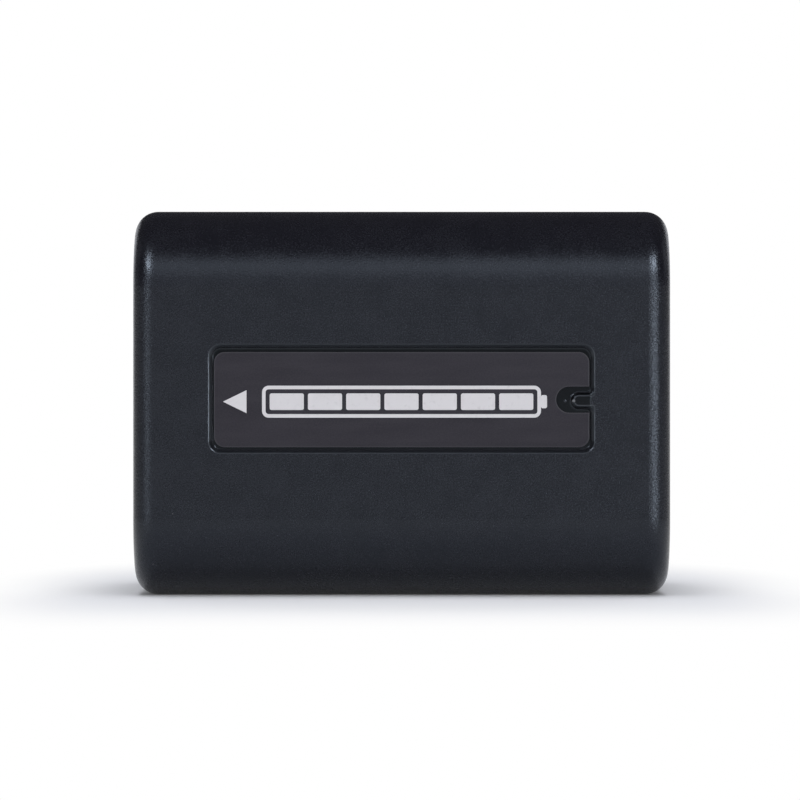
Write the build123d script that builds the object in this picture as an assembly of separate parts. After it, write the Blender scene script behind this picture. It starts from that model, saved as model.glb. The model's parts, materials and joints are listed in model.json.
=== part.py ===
from build123d import *
import math
import os

# Slide-on battery pack for a camera, in millimetres. X runs along the pack, which slides on towards -X.
# The labelled face looks along -Y and the mounting face along +Y. Z is up: the pack stands on its
# long side, and the origin lies under its middle.

# Cells, all along X, in two rows front to back and two columns
cell_diameter = 14.0
cell_length = 42.6
cell_gap = 0.1
cap_diameter = 6.4
cap_height = 0.9
pad_thickness = 0.2
pad_clearance = 0.15
pad_margin = 2.0

# Nickel strips on the cell ends
strip_thickness = 0.15
strip_width = 5.0
strip_overhang = 2.6
strip_corner = 0.6
tab_width = 2.4
tab_offset = 1.3
tab_foot = 3.4
tab_bend = 0.3

# Layers in front of and behind the cells
foam_thickness = 0.35
foam_end_gap = 3.0
foam_side_gap = 0.3
sheet_thickness = 0.15
sheet_margin = 0.5
board_clearance = 0.05
board_thickness = 0.8
board_space = 1.15
board_edge_gap = 0.2
board_end_gap = 0.3
board_corner = 0.8

# Case walls and the gaps round the cells
front_wall = 1.5
long_wall = 1.4
end_wall = 0.9
mount_wall = 1.2
end_clearance = 0.15
rib_height = 0.65
rib_width = 1.0
rib_spacing = 14.0
ribs_per_wall = 3
rib_clearance = 0.1
inner_corner = 0.5

# Outer rounding
long_edge_radius = 6.5
end_edge_radius = 1.9
seam_chamfer = 0.15
mount_edge = 0.4

# Welded joint between the two covers
lip_height = 1.2
lip_thickness = 0.4
lip_inset = 0.45
lip_clearance = 0.05
lip_end_clearance = 0.1

# Label pocket in the front face, with the key tongue that stands in it
pocket_length = 31.6
pocket_width = 8.5
pocket_depth = 0.5
pocket_corner = 0.7
pocket_rise = 0.36
pocket_rim = 0.3
tongue_length = 1.7
tongue_width = 1.4
tongue_root = 0.35
tongue_rise = 0.2
tongue_drop = 0.08

# Film label
label_thickness = 0.18
label_corner = 0.9
label_rise = 0.28
label_end_gap = 0.13
label_side_gap = 0.27
notch_side_gap = 0.39
notch_end_gap = 1.2

# Rails on the mounting side, and the notches that let the camera's hooks in
ledge_thickness = 1.0
groove_width = 2.2
rail_thickness = 1.6
rail_inset = 0.8
groove_depth = 1.8
groove_wall = 1.1
groove_stop = 2.6
hook_notch_length = 7.0
hook_notch_first = -13.0
hook_notch_spacing = 18.0

# Terminals at the leading end
contact_names = ("positive", "data", "temperature", "negative")
contact_pitch = 3.2
contact_length = 3.6
contact_width = 0.9
contact_sheet = 0.18
contact_height = 1.4
contact_pinch = 0.42
contact_flare = 0.7
contact_end_gap = 0.7
slot_clearance = 0.2
slot_end_clearance = 0.5
slot_floor_clearance = 0.1
recess_depth = 0.5
recess_margin = 1.2
recess_radius = 0.6

# Lock pocket at the trailing end, and the shallow field between the ends
lock_length = 3.4
lock_width = 6.0
lock_depth = 2.0
lock_wall = 0.8
lock_from_end = 2.6
lock_radius = 0.5
lock_clearance = 0.3
field_length = 27.0
field_width = 21.0
field_depth = 0.2
field_radius = 1.2

# Posts that press on the board
post_side = 1.6
post_spacing_x = 26.0
post_spacing_z = 21.0

# Thermistor in the valley between the rear cells
bead_radius = 1.0
bead_length = 2.6
bead_gap = 0.05
bead_x = 6.0
lead_width = 0.3
lead_spacing = 1.2
lead_window_gap = 0.6

# Parts on the board: length, width and height of each body, and its place from the board's leading
# end and middle height
protection_body = (2.9, 1.6, 0.9)
gauge_body = (5.0, 4.0, 0.95)
switch_body = (3.0, 4.4, 0.9)
fuse_body = (3.2, 1.6, 0.6)
resistor_body = (1.6, 0.8, 0.45)
capacitor_body = (1.6, 0.8, 0.8)
protection_place = (12.0, 6.5)
gauge_place = (18.0, -2.5)
switch_place = (12.0, -2.5)
fuse_place = (8.0, 6.5)
resistor_place = (18.0, 7.0)
capacitor_place = (25.0, -2.5)
chip_standoff = 0.1
chip_chamfer = 0.1
chip_lead = 0.15
chip_lead_width = 0.3
chip_lead_reach = 0.7
chip_lead_pitch = 0.95
row_pitch = 1.7
resistor_columns = 3
resistor_rows = 2
resistor_column_pitch = 2.6
capacitor_count = 4

# Sizes that follow from the cells, the layers and the walls
strip_space = strip_thickness + end_clearance
pack_length = cell_length + 2 * (strip_space + end_wall)
pack_height = 2 * cell_diameter + cell_gap + 2 * (rib_clearance + rib_height + long_wall)
cells_depth = 2 * cell_diameter + cell_gap
board_stack = sheet_thickness + board_clearance + board_thickness + board_space
pack_depth = front_wall + foam_thickness + cells_depth + board_stack + mount_wall

half_length = pack_length / 2
half_height = pack_height / 2
inner_half_length = half_length - end_wall
inner_half_height = half_height - long_wall
cover_half_height = half_height - rail_inset - groove_depth - groove_wall
cell_radius = cell_diameter / 2
cell_pitch = cell_diameter + cell_gap
weld_x = cell_length / 2

# Places along Y, from the labelled face to the mounting face
front_y = -pack_depth / 2
inner_front_y = front_y + front_wall
front_row_y = inner_front_y + foam_thickness + cell_radius
rear_row_y = front_row_y + cell_pitch
cells_back_y = rear_row_y + cell_radius
sheet_back_y = cells_back_y + sheet_thickness
board_front_y = sheet_back_y + board_clearance
board_back_y = board_front_y + board_thickness
plate_inner_y = board_back_y + board_space
mount_y = plate_inner_y + mount_wall
ledge_y = mount_y - rail_thickness - groove_width
seam_y = ledge_y - ledge_thickness
pocket_floor_y = front_y + pocket_depth

# Places along Z, measured from the middle height
column_z = cell_pitch / 2
tab_z = column_z + tab_offset
board_half_length = weld_x - board_end_gap
board_half_height = cover_half_height - board_edge_gap
slot_width = contact_width + 2 * slot_clearance
contact_front_x = -inner_half_length + contact_end_gap
contact_back_x = contact_front_x + contact_length
lock_back_x = half_length - lock_from_end
lock_front_x = lock_back_x - lock_length
outside = 1.0
near = 1e-4


def at_face(y):
    """Plane across the pack at y, with its X and Y along the pack's X and Z, looking along -Y."""
    return Plane(origin=(0, y, half_height), x_dir=(1, 0, 0), z_dir=(0, -1, 0))


def slab(outline, y_low, y_high):
    """Outline in X and Z, about the middle height, made solid between two places along Y."""
    return extrude(at_face(y_high) * outline, amount=y_high - y_low)


def window(x_low, x_high, z_low, z_high):
    """Rectangle in X and Z from its four limits."""
    return Pos((x_low + x_high) / 2, (z_low + z_high) / 2) * Rectangle(x_high - x_low, z_high - z_low)


def pattern(outline, x_pitch, z_pitch, columns, rows):
    """Copies of an outline on a grid about its own place."""
    return Sketch() + GridLocations(x_pitch, z_pitch, columns, rows) * outline


def outer_edges(solid, y):
    """Edges of the outline of the flat face at y."""
    faces = solid.faces().filter_by(Axis.Y).filter_by_position(Axis.Y, y - near, y + near)
    return faces.sort_by(SortBy.AREA)[-1].outer_wire().edges()


def rounded_bar(length, height, y_low, y_high, radius):
    """Bar along X with its two long front edges rounded."""
    section = Pos((y_low + y_high) / 2, half_height) * Rectangle(y_high - y_low, height)
    section = fillet(section.vertices().group_by(Axis.X)[0], radius)
    return extrude(Plane.YZ * section, amount=length / 2, both=True)


def end_edges(bar):
    """Edges round both ends of a bar, but for those at its back."""
    back_edges = bar.edges().group_by(Axis.Y)[-1]
    return [edge for edge in bar.faces().filter_by(Axis.X).edges() if edge not in back_edges]


def label_window():
    """Pocket outline: a rounded rectangle with the tongue reaching in from its +X side."""
    tip_radius = tongue_width / 2
    right = pocket_length / 2
    tip_x = right - tongue_length + tip_radius
    tongue = window(tip_x, right + outside, -tip_radius, tip_radius) + Pos(tip_x, 0) * Circle(tip_radius)
    outline = Pos(0, pocket_rise) * RectangleRounded(pocket_length, pocket_width, pocket_corner)
    outline -= Pos(0, tongue_rise) * tongue
    roots = [
        corner
        for corner in outline.vertices()
        if abs(corner.X - right) < tongue_root and abs(corner.Y - tongue_rise) < tongue_width
    ]
    return fillet(roots, tongue_root)


def cut_label_pocket(tub):
    """Sink the pocket, bevel its rim and take a little off the tongue's top."""
    tub -= slab(label_window(), front_y, pocket_floor_y)
    rim = [
        edge
        for edge in tub.edges().filter_by_position(Axis.Y, front_y - near, front_y + near)
        if abs(edge.center().X) < pocket_length / 2 + pocket_rim
        and abs(edge.center().Z - half_height - pocket_rise) < pocket_width / 2 + pocket_rim
    ]
    tub = chamfer(rim, pocket_rim)
    right = pocket_length / 2
    reach = tongue_width / 2 + tongue_root
    tongue_top = window(right - tongue_length, right, tongue_rise - reach, tongue_rise + reach)
    return tub - slab(tongue_top, front_y, front_y + tongue_drop)


def make_outer_cover():
    """Deep tub that the cells lie in, with the label pocket, the rim for the lip and the cell ribs."""
    tub = rounded_bar(pack_length, pack_height, front_y, seam_y, long_edge_radius)
    tub = fillet(end_edges(tub), end_edge_radius)
    tub = chamfer(outer_edges(tub, seam_y), seam_chamfer)
    inner_radius = long_edge_radius - long_wall
    hollow = rounded_bar(2 * inner_half_length, 2 * inner_half_height, inner_front_y, seam_y, inner_radius)
    tub -= chamfer(end_edges(hollow), inner_corner)
    rebate = RectangleRounded(
        pack_length - 2 * lip_inset, pack_height - 2 * lip_inset, end_edge_radius - lip_inset
    )
    rib_end = seam_y - lip_height - lip_end_clearance
    tub -= slab(rebate, rib_end, seam_y)
    rib_foot = (long_wall - lip_inset) / 2
    rib_z = inner_half_height + (rib_foot - rib_height) / 2
    for side in (-1, 1):
        ribs = pattern(Rectangle(rib_width, rib_height + rib_foot), rib_spacing, 0, ribs_per_wall, 1)
        tub += slab(Pos(0, side * rib_z) * ribs, front_y + long_edge_radius, rib_end)
    return cut_label_pocket(tub)


def make_label():
    """Film label on the pocket floor, cut away around the tongue."""
    length = pocket_length - 2 * label_end_gap
    width = pocket_width - 2 * label_side_gap
    radius = tongue_width / 2 + notch_side_gap
    tip_x = pocket_length / 2 - tongue_length - notch_end_gap + radius
    notch = window(tip_x, pocket_length, -radius, radius) + Pos(tip_x, 0) * Circle(radius)
    outline = RectangleRounded(length, width, label_corner) - notch
    return slab(Pos(0, label_rise) * outline, pocket_floor_y - label_thickness, pocket_floor_y)


def rail_cuts():
    """Both grooves and the hook notches that open them to the mounting face."""
    groove_z = half_height - rail_inset - groove_depth
    groove = window(-half_length - outside, half_length - groove_stop, groove_z, half_height + outside)
    notch = window(-hook_notch_length / 2, hook_notch_length / 2, groove_z, half_height)
    notches = pattern(notch, hook_notch_spacing, 0, 2, 1)
    notches = Pos(hook_notch_first + hook_notch_spacing / 2, 0) * notches
    cuts = slab(groove, ledge_y, ledge_y + groove_width) + slab(notches, ledge_y, mount_y)
    return cuts + mirror(cuts, about=Plane.XY.offset(half_height))


def terminal_cuts():
    """Recess at the leading end and the four slots that open it to the contacts."""
    slot_end = contact_back_x + slot_end_clearance
    reach = contact_pitch * (len(contact_names) - 1) / 2 + slot_width / 2 + recess_margin
    recess = window(-half_length - recess_radius, slot_end + recess_margin, -reach, reach)
    recess = fillet(recess.vertices().group_by(Axis.X)[-1], recess_radius)
    slot = window(-half_length - outside, slot_end, -slot_width / 2, slot_width / 2)
    slots = pattern(slot, 0, contact_pitch, 1, len(contact_names))
    return slab(recess, mount_y - recess_depth, mount_y) + slab(
        slots, board_back_y + slot_floor_clearance, mount_y
    )


def lock_outline(margin):
    """Outline of the lock pocket, grown by margin."""
    middle = (lock_front_x + lock_back_x) / 2
    size = (lock_length + 2 * margin, lock_width + 2 * margin)
    return Pos(middle, 0) * RectangleRounded(*size, lock_radius)


def make_mount_cover():
    """Cover on the camera's side: a ledge that closes the tub and a raised plate with rails."""
    ledge = slab(RectangleRounded(pack_length, pack_height, end_edge_radius), seam_y, ledge_y)
    ledge = chamfer(outer_edges(ledge, seam_y), seam_chamfer)
    raised_height = pack_height - 2 * rail_inset
    raised = slab(RectangleRounded(pack_length, raised_height, end_edge_radius), ledge_y, mount_y)
    cover = ledge + chamfer(outer_edges(raised, mount_y), mount_edge)
    inside = RectangleRounded(2 * inner_half_length, 2 * cover_half_height, inner_corner)
    cover -= slab(inside, seam_y, plate_inner_y)
    lip_gap = lip_inset + lip_clearance
    lip = RectangleRounded(pack_length - 2 * lip_gap, pack_height - 2 * lip_gap, end_edge_radius - lip_gap)
    cover += slab(lip - offset(lip, -lip_thickness), seam_y - lip_height, seam_y)
    cover += slab(lock_outline(lock_wall), mount_y - lock_depth - lock_wall, plate_inner_y)
    posts = pattern(Rectangle(post_side, post_side), post_spacing_x, post_spacing_z, 2, 2)
    cover += slab(posts, board_back_y, plate_inner_y)
    cover -= rail_cuts()
    cover -= terminal_cuts()
    cover -= slab(lock_outline(0), mount_y - lock_depth, mount_y)
    field_x = (contact_back_x + slot_end_clearance + recess_margin + lock_front_x) / 2
    field = Pos(field_x, 0) * RectangleRounded(field_length, field_width, field_radius)
    return cover - slab(field, mount_y - field_depth, mount_y)


def make_cell():
    """Sealed can along X with its positive cap towards +X."""
    shoulder = weld_x - cap_height
    can = extrude(Plane.YZ.offset(-weld_x) * Circle(cell_radius), amount=weld_x + shoulder)
    return can + extrude(Plane.YZ.offset(shoulder) * Circle(cap_diameter / 2), amount=cap_height)


def cell_place(column, row_y):
    """Place of a cell: the lower column has its caps at the leading end, the upper at the trailing end."""
    turn = 180 if column < 0 else 0
    return Pos(0, row_y, half_height + column * column_z) * Rot(0, 0, turn)


def make_insulator_pad(column):
    """Card on the shoulders of a column's two cells, with a square window round each positive cap."""
    opening = cap_diameter + 2 * pad_clearance
    width = opening + 2 * pad_margin
    pad = Rectangle(cell_pitch + width, width)
    pad -= pattern(Rectangle(opening, opening), cell_pitch, 0, 2, 1)
    place = Pos((front_row_y + rear_row_y) / 2, half_height + column * column_z)
    low_x = column * (weld_x - cap_height)
    return extrude(Plane.YZ.offset(low_x) * place * pad, amount=column * pad_thickness)


def strip_bar(column):
    """Outline in Y and Z of the strip that joins the two cells of a column."""
    low = front_row_y - strip_overhang
    high = rear_row_y + strip_overhang
    bar = RectangleRounded(high - low, strip_width, strip_corner)
    return Pos((low + high) / 2, half_height + column * column_z) * bar


def strip_tab(column, end):
    """Tab that rises from a strip past the end of the board and folds onto its back."""
    middle = strip_thickness / 2
    rise_x = end * (weld_x + middle)
    fold_y = board_back_y + middle
    path = FilletPolyline(
        (rise_x, rear_row_y),
        (rise_x, fold_y),
        (rise_x - end * tab_foot, fold_y),
        radius=tab_bend,
    )
    base_z = half_height + column * tab_z - tab_width / 2
    return extrude(Plane.XY.offset(base_z) * trace(path, strip_thickness), amount=tab_width)


def make_end_strip(column):
    """Strip across the two cells of one column at the leading end, with its tab."""
    sheet = Plane.YZ.offset(-weld_x - strip_thickness) * strip_bar(column)
    return extrude(sheet, amount=strip_thickness) + strip_tab(column, -1)


def make_series_link():
    """Strip that joins all four cells at the trailing end, with a middle tap on the board."""
    span = 2 * column_z
    cross = Pos((front_row_y + rear_row_y) / 2, half_height) * Rectangle(strip_width, span)
    sheet = Plane.YZ.offset(weld_x) * (strip_bar(-1) + strip_bar(1) + cross)
    return extrude(sheet, amount=strip_thickness) + strip_tab(1, 1)


def make_foam_pad():
    """Foam tape between the tub's front wall and the front cells."""
    flat_half_height = inner_half_height - (long_edge_radius - long_wall)
    pad = Rectangle(cell_length - 2 * foam_end_gap, 2 * (flat_half_height - foam_side_gap))
    return slab(pad, inner_front_y, inner_front_y + foam_thickness)


def make_insulation_sheet():
    """Paper sheet on the rear cells, with a window for the thermistor's leads."""
    sheet = Rectangle(cell_length - 2 * sheet_margin, 2 * (board_half_height - sheet_margin))
    gap = lead_width + 2 * lead_window_gap
    sheet -= Pos(bead_x, 0) * Rectangle(lead_spacing + gap, gap)
    return slab(sheet, cells_back_y, sheet_back_y)


def make_circuit_board():
    """Board cut away around the lock pocket."""
    board = RectangleRounded(2 * board_half_length, 2 * board_half_height, board_corner)
    clear = lock_wall + lock_clearance
    half_gap = lock_width / 2 + clear
    board -= window(lock_front_x - clear, half_length, -half_gap, half_gap)
    return slab(board, board_front_y, board_back_y)


def on_board(place):
    """Plane on the back of the board, x from its leading end and z from its middle, looking along +Y."""
    x, z = place
    origin = (x - board_half_length, board_back_y, half_height + z)
    return Plane(origin=origin, x_dir=(1, 0, 0), z_dir=(0, 1, 0))


def make_chip(body, leads):
    """Moulded chip with a row of bent leads along both long sides."""
    length, width, height = body
    case = Pos(0, 0, (height + chip_standoff) / 2) * Box(length, width, height - chip_standoff)
    case = chamfer(case.edges().group_by(Axis.Z)[-1], chip_chamfer)
    knee = width / 2 + chip_lead_reach / 2
    bent = Polyline(
        (width / 2 - chip_lead, height / 2),
        (knee, height / 2),
        (knee, chip_lead / 2),
        (width / 2 + chip_lead_reach, chip_lead / 2),
    )
    lead = extrude(Plane.YZ * trace(bent, chip_lead), amount=chip_lead_width / 2, both=True)
    row = GridLocations(chip_lead_pitch, 0, leads, 1) * lead
    return case + row + [Rot(0, 0, 180) * solid for solid in row]


def make_brick(body):
    """Chip resistor, capacitor or fuse: a small block with its edges broken."""
    length, width, height = body
    block = Pos(0, 0, height / 2) * Box(length, width, height)
    return chamfer(block.edges().filter_by(Axis.X), chip_chamfer)


def make_thermistor():
    """Bead along the valley between the rear cells, on two leads that end at the board."""
    reach = cell_radius + bead_gap + bead_radius
    bead_y = rear_row_y + math.sqrt(reach**2 - column_z**2)
    bead = extrude(Plane.YZ * Circle(bead_radius), amount=bead_length / 2, both=True)
    leads = pattern(Rectangle(lead_width, lead_width), lead_spacing, 0, 2, 1)
    return Pos(bead_x, bead_y, half_height) * bead + slab(Pos(bead_x, 0) * leads, bead_y, board_front_y)


def make_contact(number):
    """Forked contact: two leaves that pinch a blade, joined by a foot on the board."""
    half = (contact_width - contact_sheet) / 2
    pinch_x = contact_front_x + contact_flare
    pinch_z = (contact_pinch + contact_sheet) / 2
    shank_x = (pinch_x + contact_back_x) / 2
    leaves = Sketch()
    for side in (-1, 1):
        leaf = Polyline(
            (contact_front_x, side * half),
            (pinch_x, side * pinch_z),
            (shank_x, side * half),
            (contact_back_x, side * half),
        )
        leaves += trace(leaf, contact_sheet)
    place = Pos(0, contact_pitch * (number - (len(contact_names) - 1) / 2))
    foot = place * window(shank_x, contact_back_x, -half, half)
    fork = slab(place * leaves, board_back_y, board_back_y + contact_height)
    return fork + slab(foot, board_back_y, board_back_y + contact_sheet)


def make_parts():
    """Every piece of the pack by name."""
    parts = {
        "outer_cover": make_outer_cover(),
        "mount_cover": make_mount_cover(),
        "label": make_label(),
        "foam_pad": make_foam_pad(),
        "insulation_sheet": make_insulation_sheet(),
        "circuit_board": make_circuit_board(),
        "positive_strip": make_end_strip(-1),
        "negative_strip": make_end_strip(1),
        "series_link": make_series_link(),
        "thermistor": make_thermistor(),
    }
    places = {}
    for column, height_name in ((-1, "lower"), (1, "upper")):
        for row_y, row_name in ((front_row_y, "front"), (rear_row_y, "rear")):
            places[f"cell_{height_name}_{row_name}"] = cell_place(column, row_y)
    for name, place in places.items():
        parts[name] = place * make_cell()
    parts["insulator_pads"] = Compound([make_insulator_pad(column) for column in (-1, 1)])
    parts["protection_chip"] = on_board(protection_place) * make_chip(protection_body, 3)
    parts["gauge_chip"] = on_board(gauge_place) * make_chip(gauge_body, 4)
    parts["switch_transistor"] = on_board(switch_place) * make_chip(switch_body, 3)
    parts["board_fuse"] = on_board(fuse_place) * make_brick(fuse_body)
    resistors = GridLocations(resistor_column_pitch, row_pitch, resistor_columns, resistor_rows)
    parts["chip_resistors"] = Compound(
        [on_board(resistor_place) * spot * make_brick(resistor_body) for spot in resistors]
    )
    capacitors = GridLocations(0, row_pitch, 1, capacitor_count)
    parts["chip_capacitors"] = Compound(
        [on_board(capacitor_place) * spot * make_brick(capacitor_body) for spot in capacitors]
    )
    for number, name in enumerate(contact_names):
        parts[f"contact_{name}"] = make_contact(number)
    return parts


os.makedirs("parts", exist_ok=True)
for node, shape in make_parts().items():
    export_step(shape, f"parts/{node}.step")
print(f"pack {pack_length:.2f} x {pack_depth:.2f} x {pack_height:.2f} mm")
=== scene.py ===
import json
import math
import bmesh
import bpy
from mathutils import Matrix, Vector


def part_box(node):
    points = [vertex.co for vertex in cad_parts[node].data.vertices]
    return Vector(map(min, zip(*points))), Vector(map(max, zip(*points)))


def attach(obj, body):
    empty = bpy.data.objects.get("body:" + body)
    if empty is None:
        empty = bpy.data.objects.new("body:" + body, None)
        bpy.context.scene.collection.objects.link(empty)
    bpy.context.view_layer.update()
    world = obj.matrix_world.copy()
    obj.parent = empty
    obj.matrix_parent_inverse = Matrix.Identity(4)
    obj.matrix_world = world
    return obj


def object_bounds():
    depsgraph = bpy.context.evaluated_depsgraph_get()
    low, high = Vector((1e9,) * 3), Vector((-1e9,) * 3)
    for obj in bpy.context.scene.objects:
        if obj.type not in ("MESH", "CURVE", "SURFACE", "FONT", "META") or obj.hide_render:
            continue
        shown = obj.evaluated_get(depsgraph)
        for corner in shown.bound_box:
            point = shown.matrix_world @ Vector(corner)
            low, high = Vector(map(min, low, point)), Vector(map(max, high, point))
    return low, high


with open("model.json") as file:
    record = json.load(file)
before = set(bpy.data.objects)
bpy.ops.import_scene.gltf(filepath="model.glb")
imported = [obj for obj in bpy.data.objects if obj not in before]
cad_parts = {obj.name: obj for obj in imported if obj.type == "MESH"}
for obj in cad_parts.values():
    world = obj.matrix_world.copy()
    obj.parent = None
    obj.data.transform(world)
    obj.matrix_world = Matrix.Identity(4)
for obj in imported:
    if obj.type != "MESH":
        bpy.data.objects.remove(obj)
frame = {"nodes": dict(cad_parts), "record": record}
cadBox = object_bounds()
nodes = frame["nodes"]
mm = 0.001
print("frame loaded,", len(nodes), "pieces")


# small helpers for shader trees

def put(tree, kind, inputs=None, **props):
    node = tree.nodes.new("ShaderNode" + kind)
    for name, value in props.items():
        setattr(node, name, value)
    for name, value in (inputs or {}).items():
        if isinstance(value, bpy.types.NodeSocket):
            tree.links.new(value, node.inputs[name])
        else:
            node.inputs[name].default_value = value
    return node


def calc(tree, operation, a, b=0.0, clamp=False):
    return put(tree, "Math", {0: a, 1: b}, operation=operation, use_clamp=clamp).outputs[0]


def vector(tree, operation, a, b=(0.0, 0.0, 0.0), out=0):
    return put(tree, "VectorMath", {0: a, 1: b}, operation=operation).outputs[out]


def ramp(tree, value, low, high, toLow=0.0, toHigh=1.0):
    limits = {0: value, 1: low, 2: high, 3: toLow, 4: toHigh}
    return put(tree, "MapRange", limits, interpolation_type="SMOOTHSTEP").outputs[0]


def fadeOut(tree, away, reach, solid):  # full as far as the solid share of its reach
    return ramp(tree, away, reach * solid, reach, 1.0, 0.0)


def blendColour(tree, factor, a, b):
    return put(tree, "Mix", {0: factor, 6: a, 7: b}, data_type="RGBA").outputs[2]


def blendValue(tree, factor, a, b):
    return put(tree, "Mix", {0: factor, 2: a, 3: b}).outputs[0]


def weighted(tree, a, b, share):  # the share is b's
    rest = calc(tree, "MULTIPLY", a, 1 - share)
    return calc(tree, "ADD", rest, calc(tree, "MULTIPLY", b, share))


def noise(tree, where, size, detail=2.0):
    return put(tree, "TexNoise", {"Vector": where, "Scale": 1 / size, "Detail": detail}).outputs[0]


def stretched(tree, where, x, y, z):
    return put(tree, "Mapping", {"Vector": where, "Scale": (x, y, z)}).outputs[0]


def place(tree):
    return put(tree, "TexCoord").outputs["Object"]  # metres, same frame as the model


def apart(tree, where):  # X, Y and Z one by one, and the point as it lies in X and Z
    xyz = put(tree, "SeparateXYZ", {0: where}).outputs
    return xyz, put(tree, "CombineXYZ", {0: xyz[0], 1: xyz[2]}).outputs[0]


def grey(value):
    return (value, value, value, 1.0)


def newFinish(name, metallic=0.0, specular=0.5):
    finish = bpy.data.materials.new(name)
    finish.use_nodes = True
    shader = finish.node_tree.nodes["Principled BSDF"]
    shader.inputs["Metallic"].default_value = metallic
    shader.inputs["Specular IOR Level"].default_value = specular
    return finish, finish.node_tree, shader


def connect(tree, shader, colour, roughness, normal):
    tree.links.new(colour, shader.inputs["Base Color"])
    tree.links.new(roughness, shader.inputs["Roughness"])
    tree.links.new(normal, shader.inputs["Normal"])


def bumpFrom(tree, height, depth, under=None):
    inputs = {"Height": height, "Distance": depth}
    if under:
        inputs["Normal"] = under
    return put(tree, "Bump", inputs).outputs[0]


# how far a point in X and Z lies outside a rounded rectangle
def fromRectangle(tree, flat, shape):
    off = vector(tree, "ABSOLUTE", vector(tree, "SUBTRACT", flat, (*shape["middle"], 0.0)))
    core = [half - shape["corner"] for half in shape["half"]]
    past = vector(tree, "MAXIMUM", vector(tree, "SUBTRACT", off, (*core, 0.0)))
    return calc(tree, "SUBTRACT", vector(tree, "LENGTH", past, out="Value"), shape["corner"])


# how deep it lies inside a slot with a round tip that runs on to +X
def intoSlot(tree, flat, tip, radius):
    off = vector(tree, "SUBTRACT", flat, (*tip, 0.0))
    off = vector(tree, "MINIMUM", off, (0.0, 1.0, 0.0))  # past the tip only Z counts
    return calc(tree, "SUBTRACT", radius, vector(tree, "LENGTH", off, out="Value"))


def lineAt(tree, distance, at, width):
    away = calc(tree, "ABSOLUTE", calc(tree, "SUBTRACT", distance, at))
    return fadeOut(tree, away, width, 0.3)


def spotAt(tree, flat, middle, size):
    away = vector(tree, "DISTANCE", flat, (*middle, 0.0), out="Value")
    return fadeOut(tree, away, size, 0.4)


# black spark-eroded plastic of both covers
casing = {
    "black": (0.0064, 0.0061, 0.0088, 1.0),
    "paler": (0.0104, 0.0101, 0.0134, 1.0),
    "toneRange": (0.32, 0.68),
    "specular": 0.38,
    "specularTint": (0.76, 0.875, 1.0, 1.0),
    "grainSize": 0.13 * mm,
    "grainDepth": 0.020 * mm,
    "cloudSize": 2.4 * mm,
    "cloudDetail": 4.0,
    "cloudShare": 0.32,
    "roughness": (0.20, 0.30),
    "roughRange": (0.35, 0.65),
    "edgeRound": 0.2 * mm,
    "edgeSamples": 8,
    "dustSpacing": 1.6 * mm,
    "dustSize": 0.05 * mm,
    "dustSolid": 0.5,
    "dustShare": 0.1,
    "dust": (0.16, 0.16, 0.17, 1.0),
}
# polished label pocket: its floor, its bevelled rim and the tongue that stands in it
pocket = {
    "middle": (0.0, 16.56 * mm),
    "half": (15.8 * mm, 4.25 * mm),
    "corner": 0.7 * mm,
    "bevel": 0.3 * mm,
    "tongueTip": (14.8 * mm, 16.4 * mm),
    "tongueHalf": 0.7 * mm,
    "tongueRoot": 0.25 * mm,
    "depth": 1.0 * mm,
    "black": (0.0012, 0.0011, 0.0015, 1.0),
    "rim": (0.0104, 0.0114, 0.0139, 1.0),
    # painted highlight line along the lip
    "rubbedAndHighlight": (0.0333, 0.0354, 0.0403, 1.0),
    # painted highlight line at the wall's foot; the gate mark takes this colour too
    "footHighlightAndGate": (0.0167, 0.0167, 0.0194, 1.0),
    "lineWidth": 0.07 * mm,
    # share of the lip's painted highlight left along its top, where less light falls
    "topHighlightShare": 0.4,
    "roughness": 0.13,
    "gateAt": (13.64 * mm, 16.36 * mm),
    "gateSize": 0.13 * mm,
    # painted glint on the tongue's tip
    "tipGlintAt": (14.36 * mm, 16.39 * mm),
    "tipGlintSize": 0.17 * mm,
    "tipGlint": (0.15, 0.15, 0.155, 1.0),
}


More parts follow.
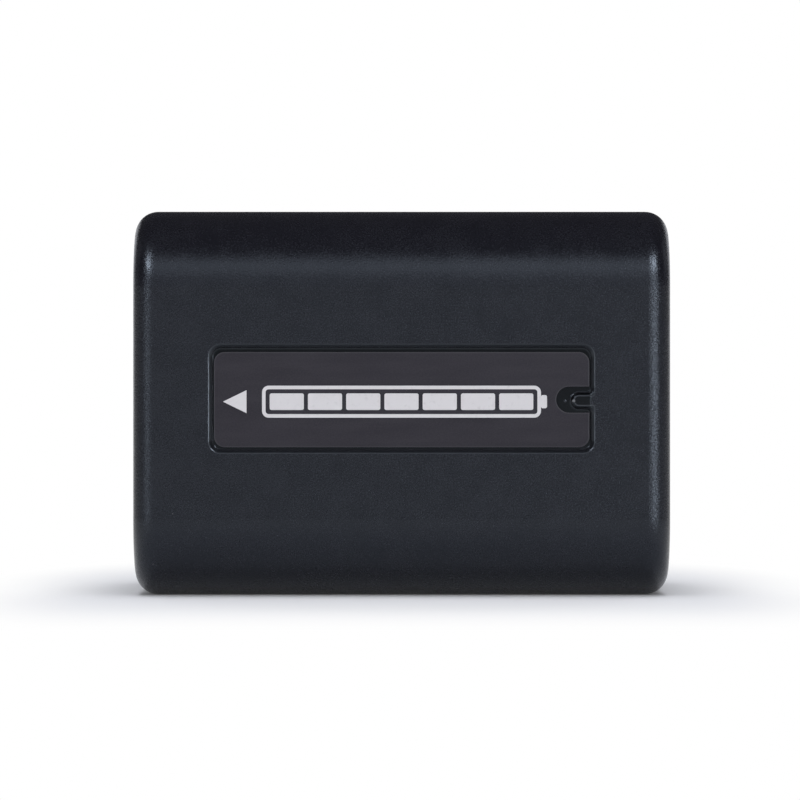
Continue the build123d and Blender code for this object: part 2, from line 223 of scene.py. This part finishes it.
def casePlastic():
    finish, tree, shader = newFinish("casePlastic", specular=casing["specular"])
    shader.inputs["Specular Tint"].default_value = casing["specularTint"]
    where = place(tree)
    xyz, flat = apart(tree, where)

    # the eroded grain shows as fine speckle over faint clouds
    clouds = noise(tree, where, casing["cloudSize"], casing["cloudDetail"])
    grain = noise(tree, where, casing["grainSize"])
    speckle = weighted(tree, grain, clouds, casing["cloudShare"])
    tone = ramp(tree, speckle, *casing["toneRange"])
    colour = blendColour(tree, tone, casing["black"], casing["paler"])
    rough = ramp(tree, speckle, *casing["roughRange"], *casing["roughness"])

    # a few specks of dust, only in some of the cells
    cells = put(tree, "TexVoronoi", {"Vector": where, "Scale": 1 / casing["dustSpacing"]})
    draw = put(tree, "SeparateColor", {0: cells.outputs["Color"]}).outputs[0]
    dustEdge = casing["dustSize"] / casing["dustSpacing"]
    speck = fadeOut(tree, cells.outputs["Distance"], dustEdge, casing["dustSolid"])
    speck = calc(tree, "MULTIPLY", speck, calc(tree, "LESS_THAN", draw, casing["dustShare"]))
    colour = blendColour(tree, speck, colour, casing["dust"])

    # how far a point is from the foot of the pocket's wall, which runs round the tongue too
    fromFront = calc(tree, "SUBTRACT", xyz[1], cadBox[0][1])
    nearFront = calc(tree, "LESS_THAN", fromFront, pocket["depth"])
    outer = fromRectangle(tree, flat, pocket)
    tongue = intoSlot(tree, flat, pocket["tongueTip"], pocket["tongueHalf"])
    meeting = {0: outer, 1: tongue, 2: pocket["tongueRoot"]}
    wall = put(tree, "Math", meeting, operation="SMOOTH_MAX").outputs[0]
    lip = pocket["bevel"]
    width = pocket["lineWidth"]
    inside = ramp(tree, outer, 0.0, width, 1.0, 0.0)
    bevelled = calc(tree, "MAXIMUM", inside, ramp(tree, wall, lip, lip + width, 1.0, 0.0))
    smooth = calc(tree, "MULTIPLY", bevelled, nearFront)

    # polished black floor, a paler rim, a painted highlight line at the wall's foot and the
    # moulding gate's mark in the same pale colour
    polished = blendColour(tree, inside, pocket["rim"], pocket["black"])
    polished = blendColour(tree, lineAt(tree, wall, 0.0, width), polished, pocket["footHighlightAndGate"])
    gate = spotAt(tree, flat, pocket["gateAt"], pocket["gateSize"])
    polished = blendColour(tree, gate, polished, pocket["footHighlightAndGate"])
    colour = blendColour(tree, smooth, colour, polished)

    # a painted highlight line along the lip, weaker along its top where less light falls, and a
    # painted glint on the tongue's tip
    rubbedAndHighlight = calc(tree, "MULTIPLY", lineAt(tree, wall, lip, width), nearFront)
    topSide = pocket["middle"][1] + pocket["half"][1]
    lessAbove = ramp(tree, xyz[2], topSide - lip, topSide + lip, 1.0, pocket["topHighlightShare"])
    rubbedAndHighlight = calc(tree, "MULTIPLY", rubbedAndHighlight, lessAbove)
    colour = blendColour(tree, rubbedAndHighlight, colour, pocket["rubbedAndHighlight"])
    # painted glint on the tongue's tip
    tipGlint = spotAt(tree, flat, pocket["tipGlintAt"], pocket["tipGlintSize"])
    tipGlint = calc(tree, "MULTIPLY", tipGlint, nearFront)
    colour = blendColour(tree, tipGlint, colour, pocket["tipGlint"])

    rough = blendValue(tree, smooth, rough, pocket["roughness"])
    height = blendValue(tree, smooth, grain, gate)
    edgeRound = {"Radius": casing["edgeRound"]}
    soft = put(tree, "Bevel", edgeRound, samples=casing["edgeSamples"]).outputs[0]
    connect(tree, shader, colour, rough, bumpFrom(tree, height, casing["grainDepth"], soft))
    return finish


# charcoal film of the label, faintly rubbed, with a painted highlight along its cut edge
film = {
    "middle": (0.0, 16.48 * mm),
    "half": (15.67 * mm, 3.98 * mm),
    "corner": 0.9 * mm,
    "notchTip": (13.99 * mm, 16.48 * mm),
    "notchHalf": 1.09 * mm,
    "charcoal": (0.0146, 0.0128, 0.0192, 1.0),
    # paler tone of faint rubbing in streaks
    "rubbedAndHighlight": (0.0232, 0.0208, 0.0282, 1.0),
    "toneRange": (0.35, 0.65),
    # painted highlight along the cut edge
    "cutEdgeHighlight": (0.0430, 0.0415, 0.0485, 1.0),
    "edgeWidth": 0.11 * mm,
    "edgeSolid": 0.3,
    "specular": 0.26,
    "edgeRound": 0.12 * mm,
    "edgeSamples": 6,
    "streakSize": 0.9 * mm,
    "streakLie": (0.15, 1.0, 1.0),
    "streakDetail": 5.0,
    "grainSize": 0.12 * mm,
    "grainShare": 0.6,
    "grainDepth": 0.003 * mm,
    "roughness": (0.38, 0.46),
    "roughRange": (0.3, 0.8),
}


def labelFilm():
    finish, tree, shader = newFinish("labelFilm", specular=film["specular"])
    where = place(tree)
    flat = apart(tree, where)[1]
    along = stretched(tree, where, *film["streakLie"])
    streaks = noise(tree, along, film["streakSize"], film["streakDetail"])
    grain = noise(tree, where, film["grainSize"])
    mixed = weighted(tree, streaks, grain, film["grainShare"])
    tone = ramp(tree, mixed, *film["toneRange"])
    colour = blendColour(tree, tone, film["charcoal"], film["rubbedAndHighlight"])

    # painted highlight along the film's cut edge, round the notch too
    notch = intoSlot(tree, flat, film["notchTip"], film["notchHalf"])
    edge = calc(tree, "MAXIMUM", fromRectangle(tree, flat, film), notch)
    edge = ramp(tree, edge, -film["edgeWidth"], -film["edgeSolid"] * film["edgeWidth"])
    colour = blendColour(tree, edge, colour, film["cutEdgeHighlight"])
    rough = ramp(tree, streaks, *film["roughRange"], *film["roughness"])
    edgeRound = {"Radius": film["edgeRound"]}
    soft = put(tree, "Bevel", edgeRound, samples=film["edgeSamples"]).outputs[0]
    connect(tree, shader, colour, rough, bumpFrom(tree, grain, film["grainDepth"], soft))
    return finish


# screen-printed ink
ink = {
    "white": (0.64, 0.62, 0.62, 1.0),
    "thin": (0.56, 0.54, 0.54, 1.0),
    "thinRange": (0.55, 0.85),
    "patchSize": 0.35 * mm,
    "patchDetail": 4.0,
    "depth": 0.002 * mm,
    "roughness": (0.42, 0.58),
    "roughRange": (0.3, 0.7),
    "height": 0.012 * mm,
}


def printInk():
    finish, tree, shader = newFinish("printInk")
    patches = noise(tree, place(tree), ink["patchSize"], ink["patchDetail"])
    colour = blendColour(tree, ramp(tree, patches, *ink["thinRange"]), ink["white"], ink["thin"])
    rough = ramp(tree, patches, *ink["roughRange"], *ink["roughness"])
    connect(tree, shader, colour, rough, bumpFrom(tree, patches, ink["depth"]))
    return finish


# what the inner pieces are made of: two tones, whether it is metal, the mottling's size in mm,
# how it lies, the roughness and the depth in mm
inner = {
    "cell_can": dict(dark=(0.46, 0.45, 0.43), pale=(0.62, 0.61, 0.59), metallic=1.0,
                     size=0.5, lie=(0.05, 1, 1), rough=(0.24, 0.38), depth=0.004),
    "nickel": dict(dark=(0.55, 0.53, 0.48), pale=(0.72, 0.70, 0.65), metallic=1.0,
                   size=0.4, lie=(1, 0.1, 1), rough=(0.22, 0.40), depth=0.004),
    "contact_gold": dict(dark=(0.70, 0.44, 0.13), pale=(0.92, 0.66, 0.27), metallic=1.0,
                         size=0.25, lie=(0.2, 1, 1), rough=(0.18, 0.34), depth=0.002),
    "card": dict(dark=(0.38, 0.33, 0.24), pale=(0.52, 0.47, 0.36), metallic=0.0,
                 size=0.3, lie=(0.5, 1, 1), rough=(0.75, 0.9), depth=0.01),
    "foam": dict(dark=(0.012, 0.012, 0.012), pale=(0.035, 0.034, 0.033), metallic=0.0,
                 size=0.22, lie=(1, 1, 1), rough=(0.85, 0.97), depth=0.06),
    "board": dict(dark=(0.010, 0.085, 0.030), pale=(0.020, 0.150, 0.055), metallic=0.0,
                  size=0.8, lie=(0.12, 1, 1), rough=(0.25, 0.38), depth=0.012),
    "chip": dict(dark=(0.012, 0.012, 0.013), pale=(0.026, 0.026, 0.028), metallic=0.0,
                 size=0.08, lie=(1, 1, 1), rough=(0.5, 0.66), depth=0.006),
    "fuse_ceramic": dict(dark=(0.70, 0.68, 0.62), pale=(0.82, 0.80, 0.75), metallic=0.0,
                         size=0.2, lie=(1, 1, 1), rough=(0.35, 0.5), depth=0.004),
    "resistor_ceramic": dict(dark=(0.018, 0.018, 0.020), pale=(0.040, 0.040, 0.042), metallic=0.0,
                             size=0.12, lie=(1, 1, 1), rough=(0.3, 0.5), depth=0.004),
    "capacitor_ceramic": dict(dark=(0.36, 0.25, 0.15), pale=(0.48, 0.35, 0.22), metallic=0.0,
                              size=0.12, lie=(1, 1, 1), rough=(0.35, 0.55), depth=0.004),
    "thermistor_resin": dict(dark=(0.05, 0.012, 0.008), pale=(0.10, 0.022, 0.014), metallic=0.0,
                             size=0.4, lie=(1, 1, 1), rough=(0.15, 0.3), depth=0.01),
}
mottling = {"range": (0.3, 0.7), "coarseDetail": 3.0, "fineShare": 0.3}


def mottled(name, look):
    finish, tree, shader = newFinish(name, look["metallic"])
    where = stretched(tree, place(tree), *look["lie"])
    coarse = noise(tree, where, look["size"] * mm, mottling["coarseDetail"])
    fine = noise(tree, where, look["size"] * mottling["fineShare"] * mm)
    tone = ramp(tree, coarse, *mottling["range"])
    colour = blendColour(tree, tone, (*look["dark"], 1.0), (*look["pale"], 1.0))
    rough = ramp(tree, fine, *mottling["range"], *look["rough"])
    connect(tree, shader, colour, rough, bumpFrom(tree, fine, look["depth"] * mm))
    return finish


finishes = {"case_plastic": casePlastic(), "label_film": labelFilm(), "print_ink": printInk()}
for slotName, look in inner.items():
    finishes[slotName] = mottled(slotName, look)
for part in frame["record"]["subparts"]:
    for slot in nodes[part["node"]].material_slots:
        slot.material = finishes[part["material_slot"]]
print("finishes made,", len(finishes))


# new objects, and flat shapes in X and Z (mm) raised from a face that looks along Y

def addObject(name, data):
    added = bpy.data.objects.new(name, data)
    bpy.context.scene.collection.objects.link(added)
    return added


def addMesh(name, mesh, finish):
    data = bpy.data.meshes.new(name)
    mesh.to_mesh(data)
    mesh.free()
    data.materials.append(finish)
    return addObject(name, data)


def addPiece(name, mesh, slotName):
    bmesh.ops.recalc_face_normals(mesh, faces=mesh.faces)
    piece = addMesh(name, mesh, finishes[slotName])
    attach(piece, "root")


def roundedLoop(x, z, width, height, radius, steps=6):
    loop = []
    corners = ((1, 1, 0), (-1, 1, 90), (-1, -1, 180), (1, -1, 270))
    for sideX, sideZ, start in corners:
        for step in range(steps + 1):
            turn = math.radians(start + 90 * step / steps)
            loop.append((x + sideX * (width / 2 - radius) + radius * math.cos(turn),
                         z + sideZ * (height / 2 - radius) + radius * math.sin(turn)))
    return loop


def raiseShape(mesh, loop, base, top, hole=None):
    def ring(points, y):
        return [mesh.verts.new((x * mm, y, z * mm)) for x, z in points]

    def walls(first, second):
        for i in range(len(first)):
            j = (i + 1) % len(first)
            mesh.faces.new((first[i], first[j], second[j], second[i]))

    low, high = ring(loop, base), ring(loop, top)
    walls(low, high)
    if hole:
        lowHole, highHole = ring(hole, base), ring(hole, top)
        walls(highHole, lowHole)
        walls(high, highHole)
        walls(lowHole, low)
    else:
        mesh.faces.new(high)
        mesh.faces.new(low[::-1])


# print on the label: an arrow for the way it slides on, and a plain charge gauge, in mm
labelPrint = {
    "middle": 16.31,
    "arrowTip": -14.92,
    "arrowBase": -12.95,
    "arrowHalf": 0.96,
    "gaugeLeft": -11.66,
    "gaugeRight": 11.63,
    "gaugeHeight": 2.67,
    "gaugeLine": 0.3,
    "gaugeCorner": 0.55,
    "blocks": 7,
    "blockGap": 0.34,
    "blockCorner": 0.16,
    "nubLength": 0.5,
    "nubHeight": 1.1,
    "nubCorner": 0.15,
}


def makeLabelPrint():
    p = labelPrint
    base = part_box("label")[0][1]
    top = base - ink["height"]
    mesh = bmesh.new()
    z = p["middle"]
    arrowBack = [(p["arrowBase"], z + side * p["arrowHalf"]) for side in (-1, 1)]
    raiseShape(mesh, [(p["arrowTip"], z), *arrowBack], base, top)

    length = p["gaugeRight"] - p["gaugeLeft"]
    middle = (p["gaugeRight"] + p["gaugeLeft"]) / 2
    tall, line, corner = p["gaugeHeight"], p["gaugeLine"], p["gaugeCorner"]
    outline = roundedLoop(middle, z, length, tall, corner)
    hole = roundedLoop(middle, z, length - 2 * line, tall - 2 * line, corner - line)
    raiseShape(mesh, outline, base, top, hole)
    nubMiddle = p["gaugeRight"] + p["nubLength"] / 2
    nub = roundedLoop(nubMiddle, z, p["nubLength"], p["nubHeight"], p["nubCorner"])
    raiseShape(mesh, nub, base, top)

    inside = length - 2 * (line + p["blockGap"])
    width = (inside - (p["blocks"] - 1) * p["blockGap"]) / p["blocks"]
    height = tall - 2 * (line + p["blockGap"])
    for i in range(p["blocks"]):
        x = middle - inside / 2 + width / 2 + i * (width + p["blockGap"])
        raiseShape(mesh, roundedLoop(x, z, width, height, p["blockCorner"]), base, top)
    addPiece("label_print", mesh, "print_ink")


# raised plus and minus on the floor of the terminal recess, in mm
marks = {
    "x": -18.6,
    "out": 1.28,
    "size": 0.8,
    "line": 0.2,
    "corner": 0.08,
    "cornerSteps": 3,
    "height": 0.1,
    "crossStep": 0.002,  # the upright bar of the plus is a touch higher
    "recess": 0.5,
}


def makePolarityMarks():
    m = marks
    base = cadBox[1][1] - m["recess"] * mm
    top = base + m["height"] * mm
    mesh = bmesh.new()
    for node, side in (("contact_positive", -1), ("contact_negative", 1)):
        low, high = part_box(node)
        z = (low[2] + high[2]) / 2 / mm + side * m["out"]
        bars = [(m["size"], m["line"])]
        if node == "contact_positive":
            bars.append((m["line"], m["size"]))
        for number, (width, height) in enumerate(bars):
            bar = roundedLoop(m["x"], z, width, height, m["corner"], m["cornerSteps"])
            raiseShape(mesh, bar, base, top + number * m["crossStep"] * mm)
    addPiece("polarity_marks", mesh, "case_plastic")


makeLabelPrint()
makePolarityMarks()
print("print and marks made")


# round pale floor that curves up behind the pack, in metres and degrees
stage = {
    "radius": 2.5,
    "bend": 0.33,
    "steps": 10,
    "turns": 96,
    "behind": 15,
    "colour": 0.93,
    "nearWhite": 0.05,
    "fadeBeside": 0.016,
    "fadeInFront": 0.06,
}


def floorFinish():
    finish = bpy.data.materials.new("paleSweep")
    finish.use_nodes = True
    tree = finish.node_tree
    tree.nodes.clear()
    seen = put(tree, "LightPath").outputs
    direct = calc(tree, "ADD", seen["Is Camera Ray"], seen["Is Glossy Ray"])
    direct = calc(tree, "ADD", direct, seen["Is Transmission Ray"], clamp=True)

    # close to the pack the lit floor shows its shadow, further off it turns to plain white
    spot = put(tree, "NewGeometry").outputs["Position"]
    off = vector(tree, "ABSOLUTE", vector(tree, "MULTIPLY", spot, (1.0, 1.0, 0.0)))
    off = vector(tree, "SUBTRACT", off, (cadBox[1][0], cadBox[1][1], 0.0))
    fade = (stage["fadeBeside"], stage["fadeInFront"], 1.0)
    off = vector(tree, "DIVIDE", vector(tree, "MAXIMUM", off), fade)
    distance = vector(tree, "LENGTH", off, out="Value")
    white = calc(tree, "MULTIPLY", direct, ramp(tree, distance, 0.0, 1.0, stage["nearWhite"], 1.0))

    lit = put(tree, "BsdfDiffuse", {"Color": grey(stage["colour"])}).outputs[0]
    glow = put(tree, "Emission", {"Color": grey(1.0), "Strength": 1.0}).outputs[0]
    mixed = put(tree, "MixShader", {0: white, 1: lit, 2: glow}).outputs[0]
    put(tree, "OutputMaterial", {"Surface": mixed})
    finish.cycles.emission_sampling = "NONE"  # the white is only looked at, it lights nothing
    return finish


def makeStage():
    s = stage
    angles = [math.tau * i / s["turns"] for i in range(s["turns"])]
    behind = [abs(math.degrees(a) - 90) < s["behind"] for a in angles]
    mesh = bmesh.new()

    def circle(radius, z):
        return [mesh.verts.new((radius * math.cos(a), radius * math.sin(a), z)) for a in angles]

    ring = circle(s["radius"], 0.0)
    mesh.faces.new(ring)
    for step in range(1, s["steps"] + 1):
        turn = math.radians(90 * step / s["steps"])
        radius = s["radius"] + s["bend"] * math.sin(turn)
        higher = circle(radius, s["bend"] * (1 - math.cos(turn)))
        for i, j in zip(range(-1, s["turns"] - 1), range(s["turns"])):
            if behind[i] and behind[j]:
                mesh.faces.new((ring[i], ring[j], higher[j], higher[i])).smooth = True
        ring = higher
    loose = [vert for vert in mesh.verts if not vert.link_faces]
    bmesh.ops.delete(mesh, geom=loose, context="VERTS")
    floor = addMesh("paleFloor", mesh, floorFinish())


makeStage()
print("floor laid")


# soft boxes: degrees round from the front, degrees up, size in metres, watts
# lights=False shows only as a reflection, mirrored=False only lights
lamps = {
    "rightStrip": dict(round=35, up=0, size=(0.56, 0.03), watts=1.6),  # no higher than the pack
    "rightFill": dict(round=36, up=13, size=(0.40, 0.24), watts=0.5),
    "rightCorner": dict(round=36, up=33, size=(0.28, 0.30), watts=5.2, lights=False),
    "leftStrip": dict(round=-43, up=0, size=(0.46, 0.03), watts=0.46),
    "leftFill": dict(round=-43, up=13, size=(0.40, 0.24), watts=0.4),
    "leftCorner": dict(round=-43, up=34, size=(0.26, 0.28), watts=4.2, lights=False),
    "upperPanel": dict(round=0, up=33, size=(1.50, 0.36), watts=2.3),
    "frontPanel": dict(round=0, up=14, size=(1.50, 0.30), watts=0.9),
    "leftSide": dict(round=-110, up=20, size=(0.40, 0.40), watts=0.1),
    "rightSide": dict(round=110, up=20, size=(0.40, 0.40), watts=0.2),
    "rearLeft": dict(round=-150, up=8, size=(0.50, 0.28), watts=0.4),
    "rearRight": dict(round=150, up=8, size=(0.50, 0.28), watts=0.4),
    "frontFill": dict(round=0, up=40, size=(1.00, 0.50), watts=1.6, mirrored=False),
    "rearFill": dict(round=180, up=40, size=(1.00, 0.50), watts=3.0, mirrored=False),
    "floorBox": dict(round=0, up=88, size=(0.60, 0.60), watts=4.8, mirrored=False),
}
lampAway = 1.0
lampTint = (0.97, 0.99, 1.05)
room = {"grey": (0.05, 0.05, 0.055, 1.0), "white": grey(1.0), "horizon": -0.0035}


def makeLamp(name, setting, aim):
    turn, up = math.radians(setting["round"]), math.radians(setting["up"])
    level = math.cos(up)
    away = Vector((math.sin(turn) * level, -math.cos(turn) * level, math.sin(up)))
    data = bpy.data.lights.new(name, "AREA")
    data.shape = "RECTANGLE"
    data.size, data.size_y = setting["size"]
    data.energy = setting["watts"]
    data.color = lampTint
    lamp = addObject(name, data)
    lamp.location = aim + away * lampAway
    lamp.rotation_euler = (-away).to_track_quat("-Z", "Y").to_euler()
    lamp.visible_camera = False
    lamp.visible_glossy = setting.get("mirrored", True)
    lamp.visible_diffuse = setting.get("lights", True)


def makeRoom():
    world = bpy.data.worlds.new("greyRoom")
    world.use_nodes = True
    tree = world.node_tree
    way = put(tree, "TexCoord").outputs["Generated"]
    rise = put(tree, "SeparateXYZ", {0: way}).outputs[2]
    below = calc(tree, "LESS_THAN", rise, room["horizon"])  # past the floor's edge it stays white
    colour = blendColour(tree, below, room["grey"], room["white"])
    tree.links.new(colour, tree.nodes["Background"].inputs["Color"])
    bpy.context.scene.world = world


middle = (Vector(cadBox[0]) + Vector(cadBox[1])) / 2
for name, setting in lamps.items():
    makeLamp(name, setting, middle)
makeRoom()
print("lights set,", len(lamps))


# camera square on to the label
view = {
    "x": -0.14 * mm,
    "z": 16.45 * mm,
    "away": 400.0 * mm,
    "nearest": 10.0 * mm,
    "sensor": 36.0,
    "lens": 215.8,
}


def makeCamera():
    data = bpy.data.cameras.new("squareOn")
    data.sensor_fit = "HORIZONTAL"
    data.sensor_width = view["sensor"]
    data.lens = view["lens"]
    data.clip_start = view["nearest"]
    camera = addObject("squareOn", data)
    camera.location = (view["x"], cadBox[0][1] - view["away"], view["z"])
    camera.rotation_euler = (math.radians(90), 0, 0)
    bpy.context.scene.camera = camera


makeCamera()
bpy.context.scene.view_settings.view_transform = "Standard"
print("camera placed")
